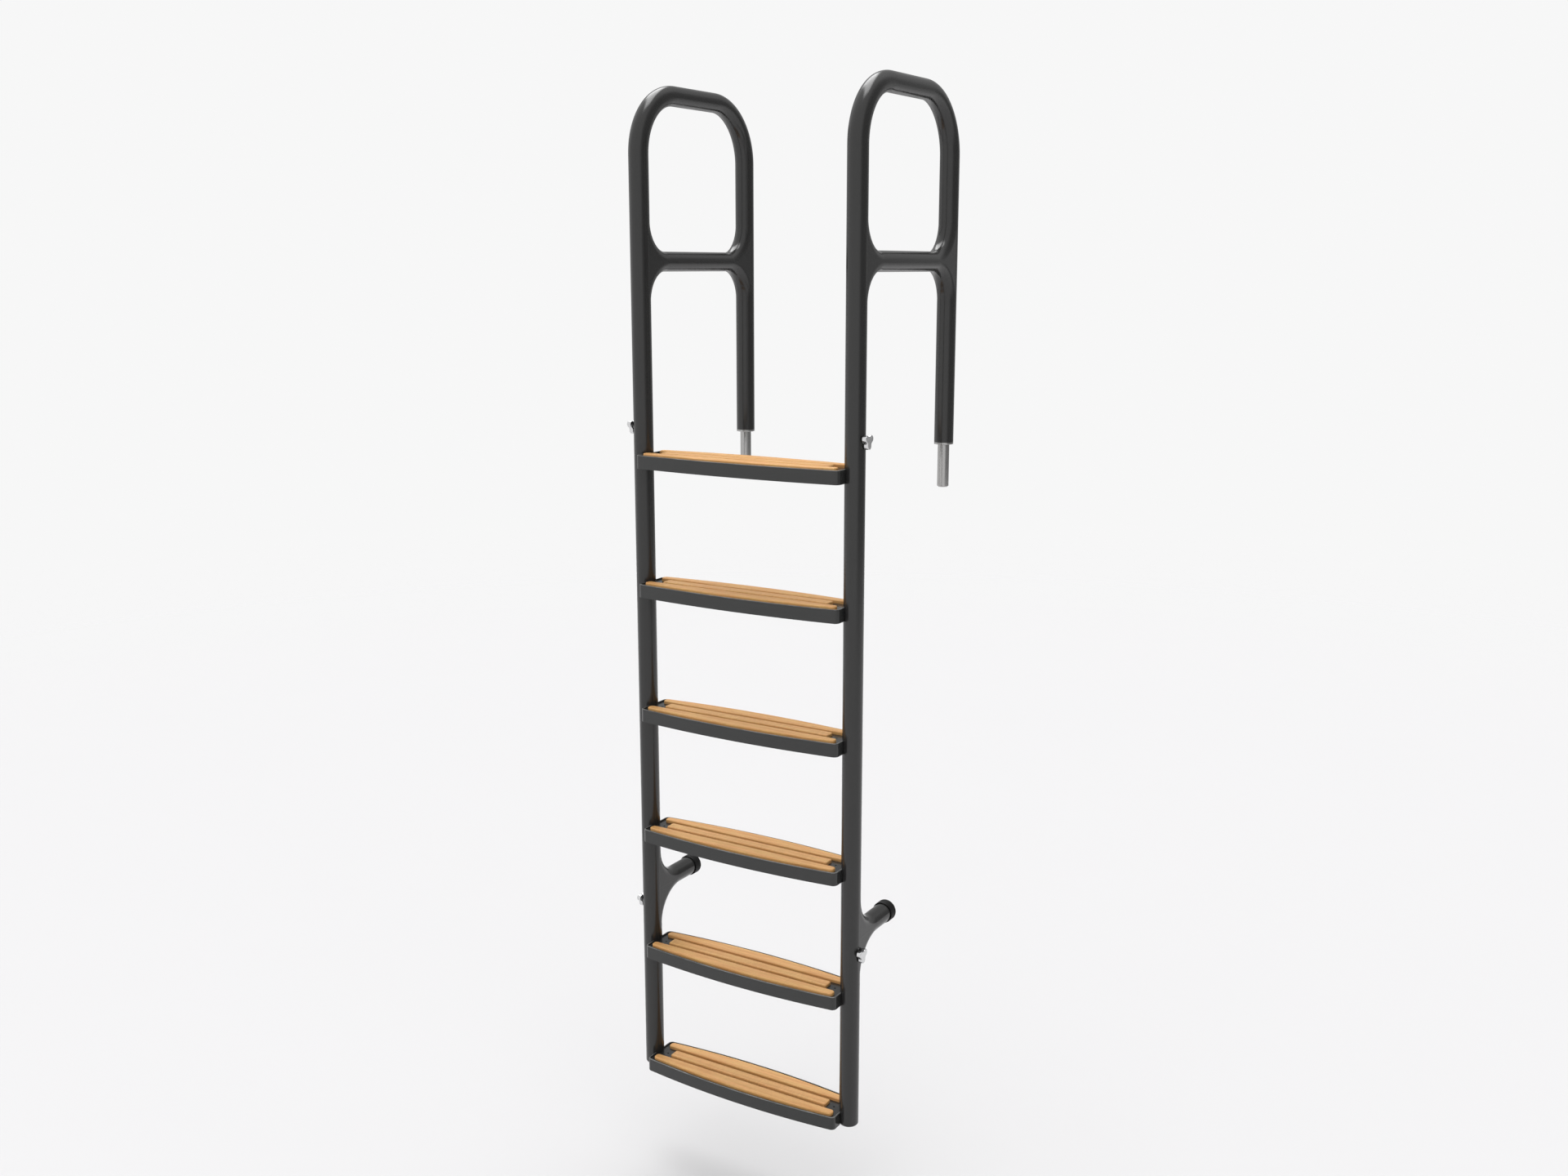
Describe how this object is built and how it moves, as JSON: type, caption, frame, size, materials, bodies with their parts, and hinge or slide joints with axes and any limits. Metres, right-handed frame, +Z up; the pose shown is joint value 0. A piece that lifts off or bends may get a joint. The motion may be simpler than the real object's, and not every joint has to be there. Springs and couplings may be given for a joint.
{
  "type": "boat boarding ladder",
  "caption": "Hook-over boarding ladder with looped handrails, deck pins, bowed teak treads, hull standoffs with rubber caps and three-lobed clamp knobs.",
  "frame": {"origin": "on the deck plane (underside of the deck pins' flanges), midway between the two deck pins", "axes": "+X to the right of a climber facing the boat, +Y inboard, +Z up"},
  "size_m": [0.5544, 0.4639, 2.0877],
  "materials": {
    "dark_tube": "gloss",
    "tread_pan": "satin",
    "teak": "satin",
    "pin_steel": "satin",
    "knob_chrome": "polished",
    "stud_steel": "satin",
    "washer_plastic": "matte",
    "fender_rubber": "matte",
    "screw_steel": "satin"
  },
  "bodies": {
    "handrails": {"handrail_left": "dark_tube", "grab_bar_left": "dark_tube", "deck_pin_left": "pin_steel", "handrail_right": "dark_tube", "grab_bar_right": "dark_tube", "deck_pin_right": "pin_steel", "upper_bushes": "stud_steel"},
    "main_frame": {"main_stile_left": "dark_tube", "upper_spigot_left": "dark_tube", "standoff_left": "dark_tube", "fender_cap_left": "fender_rubber", "main_stile_right": "dark_tube", "upper_spigot_right": "dark_tube", "standoff_right": "dark_tube", "fender_cap_right": "fender_rubber", "lower_bushes": "stud_steel", "tread_pan_1": "tread_pan", "slat_1_front": "teak", "slat_1_middle": "teak", "slat_1_rear": "teak", "tread_pan_2": "tread_pan", "slat_2_front": "teak", "slat_2_middle": "teak", "slat_2_rear": "teak", "tread_pan_3": "tread_pan", "slat_3_front": "teak", "slat_3_middle": "teak", "slat_3_rear": "teak", "tread_pan_4": "tread_pan", "slat_4_front": "teak", "slat_4_middle": "teak", "slat_4_rear": "teak", "main_slat_screws": "screw_steel"},
    "lower_frame": {"lower_stile_left": "dark_tube", "lower_spigot_left": "dark_tube", "foot_cap_left": "dark_tube", "lower_stile_right": "dark_tube", "lower_spigot_right": "dark_tube", "foot_cap_right": "dark_tube", "tread_pan_5": "tread_pan", "slat_5_front": "teak", "slat_5_middle": "teak", "slat_5_rear": "teak", "tread_pan_6": "tread_pan", "slat_6_front": "teak", "slat_6_middle": "teak", "slat_6_rear": "teak", "lower_slat_screws": "screw_steel"},
    "upper_clamp_washer_left": {"upper_washer_left": "washer_plastic"},
    "upper_clamp_knob_left": {"upper_stud_left": "stud_steel", "upper_knob_left": "knob_chrome"},
    "upper_clamp_washer_right": {"upper_washer_right": "washer_plastic"},
    "upper_clamp_knob_right": {"upper_stud_right": "stud_steel", "upper_knob_right": "knob_chrome"},
    "lower_clamp_washer_left": {"lower_washer_left": "washer_plastic"},
    "lower_clamp_knob_left": {"lower_stud_left": "stud_steel", "lower_knob_left": "knob_chrome"},
    "lower_clamp_washer_right": {"lower_washer_right": "washer_plastic"},
    "lower_clamp_knob_right": {"lower_stud_right": "stud_steel", "lower_knob_right": "knob_chrome"}
  },
  "joints": [
    {"name": "main_section_pull", "type": "slide", "parent": "handrails", "child": "main_frame", "axis": [0, 0, -1], "range_m": [0, 0.09]},
    {"name": "lower_section_pull", "type": "slide", "parent": "main_frame", "child": "lower_frame", "axis": [0, 0, -1], "range_m": [0, 0.09]},
    {"name": "upper_knob_travel_left", "type": "slide", "parent": "handrails", "child": "upper_clamp_washer_left", "axis": [-1, 0, 0], "range_m": [0, 0.0038]},
    {"name": "upper_knob_turn_left", "type": "hinge", "parent": "upper_clamp_washer_left", "child": "upper_clamp_knob_left", "pos_m": [-0.2462, -0.3855, 0.0434], "axis": [-1, 0, 0], "range_deg": [0, 1080]},
    {"name": "upper_knob_travel_right", "type": "slide", "parent": "handrails", "child": "upper_clamp_washer_right", "axis": [1, 0, 0], "range_m": [0, 0.0038]},
    {"name": "upper_knob_turn_right", "type": "hinge", "parent": "upper_clamp_washer_right", "child": "upper_clamp_knob_right", "pos_m": [0.2462, -0.3855, 0.0434], "axis": [1, 0, 0], "range_deg": [0, 1080]},
    {"name": "lower_knob_travel_left", "type": "slide", "parent": "main_frame", "child": "lower_clamp_washer_left", "axis": [-1, 0, 0], "range_m": [0, 0.0038]},
    {"name": "lower_knob_turn_left", "type": "hinge", "parent": "lower_clamp_washer_left", "child": "lower_clamp_knob_left", "pos_m": [-0.2462, -0.3855, -0.99], "axis": [-1, 0, 0], "range_deg": [0, 1080]},
    {"name": "lower_knob_travel_right", "type": "slide", "parent": "main_frame", "child": "lower_clamp_washer_right", "axis": [1, 0, 0], "range_m": [0, 0.0038]},
    {"name": "lower_knob_turn_right", "type": "hinge", "parent": "lower_clamp_washer_right", "child": "lower_clamp_knob_right", "pos_m": [0.2462, -0.3855, -0.99], "axis": [1, 0, 0], "range_deg": [0, 1080]}
  ],
  "couplings": [
    {"joint": "upper_knob_travel_left", "follows": "upper_knob_turn_left", "m_per_rad": 0.00019894},
    {"joint": "upper_knob_travel_right", "follows": "upper_knob_turn_right", "m_per_rad": 0.00019894},
    {"joint": "lower_knob_travel_left", "follows": "lower_knob_turn_left", "m_per_rad": 0.00019894},
    {"joint": "lower_knob_travel_right", "follows": "lower_knob_turn_right", "m_per_rad": 0.00019894}
  ]
}
